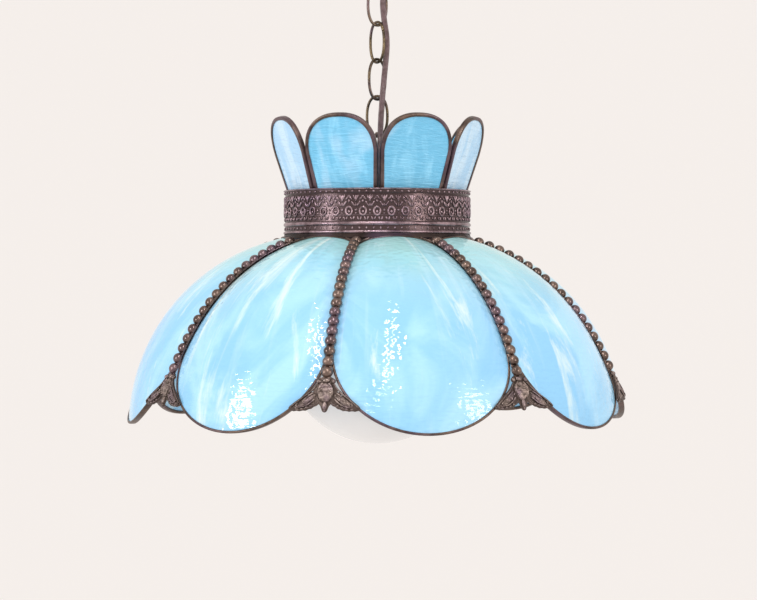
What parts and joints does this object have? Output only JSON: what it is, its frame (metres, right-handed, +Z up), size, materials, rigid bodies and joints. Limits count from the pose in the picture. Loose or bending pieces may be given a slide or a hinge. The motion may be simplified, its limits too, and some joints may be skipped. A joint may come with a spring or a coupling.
{
  "type": "pendant lamp",
  "caption": "Ceiling pendant lamp with bent glass petals and beaded ribs, a glass crown over an embossed band, a milk-glass globe, link chain and canopy.",
  "frame": {"origin": "middle of the crossbar's top face, on the ceiling", "axes": "+Z up through the ceiling box and along the lamp's own axis, -Y to the front, +X to the right seen from the front"},
  "size_m": [0.4644, 0.4644, 0.487],
  "materials": {
    "zinc_yellow_steel": "zinc-plated, dull",
    "antique_bronze": "dark bronze patina, satin",
    "antique_brass": "antique brass plate",
    "polished_brass": "lacquered brass",
    "blue_slag_glass": "opalescent bent glass, glossy",
    "blue_flat_glass": "opalescent flat glass, rippled",
    "milk_glass": "opal, satin",
    "frosted_glass": "frosted",
    "nickel_plate": "plated",
    "black_phenolic": "moulded",
    "fibre_paper": "fibre",
    "brown_vinyl": "satin vinyl"
  },
  "bodies": {
    "ceiling": {"crossbar": "zinc_yellow_steel", "canopy_nipple": "zinc_yellow_steel", "canopy_locknut": "zinc_yellow_steel", "canopy": "antique_bronze"},
    "collar_ring": {"collar_ring": "antique_bronze"},
    "canopy_loop": {"canopy_loop": "antique_bronze"},
    "pendant": {"chain_link_1": "antique_brass", "chain_link_2": "antique_brass", "chain_link_3": "antique_brass", "chain_link_4": "antique_brass", "chain_link_5": "antique_brass", "lamp_loop": "antique_bronze", "check_washer": "antique_bronze", "lamp_nipple": "zinc_yellow_steel", "lamp_locknuts": "zinc_yellow_steel", "spider": "antique_bronze", "spider_screws": "zinc_yellow_steel", "gallery_ring": "antique_bronze", "embossed_band": "antique_bronze", "shoulder_ring": "antique_bronze", "crown_rims": "antique_bronze", "shade_rims": "antique_bronze", "corner_ornaments": "antique_bronze", "spacer_tube": "polished_brass", "globe_holder": "polished_brass", "opal_globe": "milk_glass", "socket_cap": "polished_brass", "socket_shell": "polished_brass", "insulator_sleeve": "fibre_paper", "socket_body": "black_phenolic", "cord": "brown_vinyl", "crown_glass_1": "blue_flat_glass", "crown_glass_2": "blue_flat_glass", "crown_glass_3": "blue_flat_glass", "crown_glass_4": "blue_flat_glass", "crown_glass_5": "blue_flat_glass", "crown_glass_6": "blue_flat_glass", "crown_glass_7": "blue_flat_glass", "crown_glass_8": "blue_flat_glass", "shade_glass_1": "blue_slag_glass", "shade_glass_2": "blue_slag_glass", "shade_glass_3": "blue_slag_glass", "shade_glass_4": "blue_slag_glass", "shade_glass_5": "blue_slag_glass", "shade_glass_6": "blue_slag_glass", "shade_glass_7": "blue_slag_glass", "shade_glass_8": "blue_slag_glass", "bead_rib_1": "antique_bronze", "bead_rib_2": "antique_bronze", "bead_rib_3": "antique_bronze", "bead_rib_4": "antique_bronze", "bead_rib_5": "antique_bronze", "bead_rib_6": "antique_bronze", "bead_rib_7": "antique_bronze", "bead_rib_8": "antique_bronze"},
    "bulb": {"bulb_base": "nickel_plate", "bulb_glass": "frosted_glass"},
    "thumbscrew_1": {"thumbscrew_1": "polished_brass"},
    "thumbscrew_2": {"thumbscrew_2": "polished_brass"},
    "thumbscrew_3": {"thumbscrew_3": "polished_brass"}
  },
  "joints": [
    {"name": "loop_swivel", "type": "hinge", "parent": "ceiling", "child": "canopy_loop", "pos_m": [0, 0, -0.04], "axis": [0, 0, 1], "range_deg": [-180, 180]},
    {"name": "collar_ring_turn", "type": "hinge", "parent": "ceiling", "child": "collar_ring", "pos_m": [0, 0, -0.034], "axis": [0, 0, 1], "range_deg": [-180, 180]},
    {"name": "chain_swing", "type": "hinge", "parent": "canopy_loop", "child": "pendant", "pos_m": [0, 0, -0.06255], "axis": [0.515, -0.8572, 0], "range_deg": [-40, 40], "deforming": ["cord"]},
    {"name": "bulb_unscrew", "type": "slide", "parent": "pendant", "child": "bulb", "axis": [0, 0, -1], "range_m": [0, 0.028]},
    {"name": "thumbscrew_1_turn", "type": "hinge", "parent": "pendant", "child": "thumbscrew_1", "pos_m": [0, 0, -0.31727], "axis": [-1, 0, 0], "range_deg": [0, 360]},
    {"name": "thumbscrew_2_turn", "type": "hinge", "parent": "pendant", "child": "thumbscrew_2", "pos_m": [0, 0, -0.31727], "axis": [0.5, -0.866, 0], "range_deg": [0, 360]},
    {"name": "thumbscrew_3_turn", "type": "hinge", "parent": "pendant", "child": "thumbscrew_3", "pos_m": [0, 0, -0.31727], "axis": [0.5, 0.866, 0], "range_deg": [0, 360]}
  ]
}
